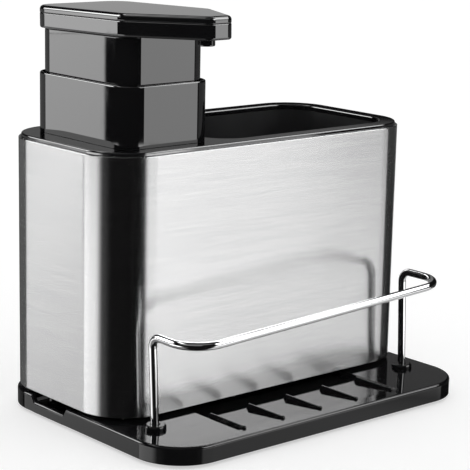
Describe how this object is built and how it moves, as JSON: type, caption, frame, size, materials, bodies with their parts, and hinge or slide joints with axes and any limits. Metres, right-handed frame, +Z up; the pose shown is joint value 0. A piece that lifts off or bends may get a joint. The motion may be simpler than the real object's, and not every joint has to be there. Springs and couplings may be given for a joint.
{
  "type": "soap pump caddy",
  "caption": "Rectangular brushed-steel soap pump caddy with a brush well, standing in a gloss black drip tray with drain ribs and a wire sponge rail.",
  "frame": {"origin": "centre of the outline in plan, at the underside of the tray's rubber feet", "axes": "+Z up, +X along the tray's long side away from the pump, +Y towards the back; the ribs and the rail are at -Y"},
  "size_m": [0.175, 0.1244, 0.1791],
  "materials": {
    "black_gloss": "polished moulded black plastic",
    "black_matte": "plain moulded black plastic",
    "brushed_steel": "fine horizontal brushing",
    "chrome": "polished",
    "rubber": "matte",
    "spring_steel": "bright drawn steel",
    "tank_plastic": "natural translucent plastic",
    "white_plastic": "natural white plastic"
  },
  "bodies": {
    "tray": {"tray": "black_gloss", "tray_feet": "rubber"},
    "rail": {"wire_rail": "chrome"},
    "housing": {"base_plate": "black_matte", "body_feet": "rubber", "body_screws": "spring_steel", "steel_sleeve": "brushed_steel", "top_frame": "black_gloss", "brush_well": "black_matte", "soap_tank": "tank_plastic"},
    "pump": {"pump_collar": "black_gloss", "collar_gasket": "rubber", "pump_cylinder": "white_plastic", "lock_ring": "white_plastic", "dip_tube": "white_plastic", "return_spring": "spring_steel"},
    "press": {"press_sleeve": "black_gloss", "head_shell": "black_gloss", "head_cover": "black_gloss", "nozzle_tip": "black_gloss", "spout_channel": "white_plastic", "piston_stem": "white_plastic", "piston_seal": "rubber"},
    "intake_valve": {"intake_ball": "spring_steel"},
    "outlet_valve": {"outlet_ball": "spring_steel"}
  },
  "joints": [
    {"name": "rail_lift", "type": "slide", "parent": "tray", "child": "rail", "axis": [-0.0454, 0, 0.999], "range_m": [0, 0.02]},
    {"name": "body_lift", "type": "slide", "parent": "tray", "child": "housing", "axis": [0, 0, 1], "range_m": [0, 0.04]},
    {"name": "pump_lift", "type": "slide", "parent": "housing", "child": "pump", "axis": [0, 0, 1], "range_m": [0, 0.11]},
    {"name": "press", "type": "slide", "parent": "pump", "child": "press", "axis": [0, 0, -1], "range_m": [0, 0.015], "stiffness_N_per_m": 600, "springref_m": -0.01, "deforming": ["return_spring"]},
    {"name": "intake_ball_lift", "type": "slide", "parent": "pump", "child": "intake_valve", "axis": [0, 0, 1], "range_m": [0, 0.0012]},
    {"name": "outlet_ball_lift", "type": "slide", "parent": "press", "child": "outlet_valve", "axis": [0, 0, 1], "range_m": [0, 0.001]}
  ]
}
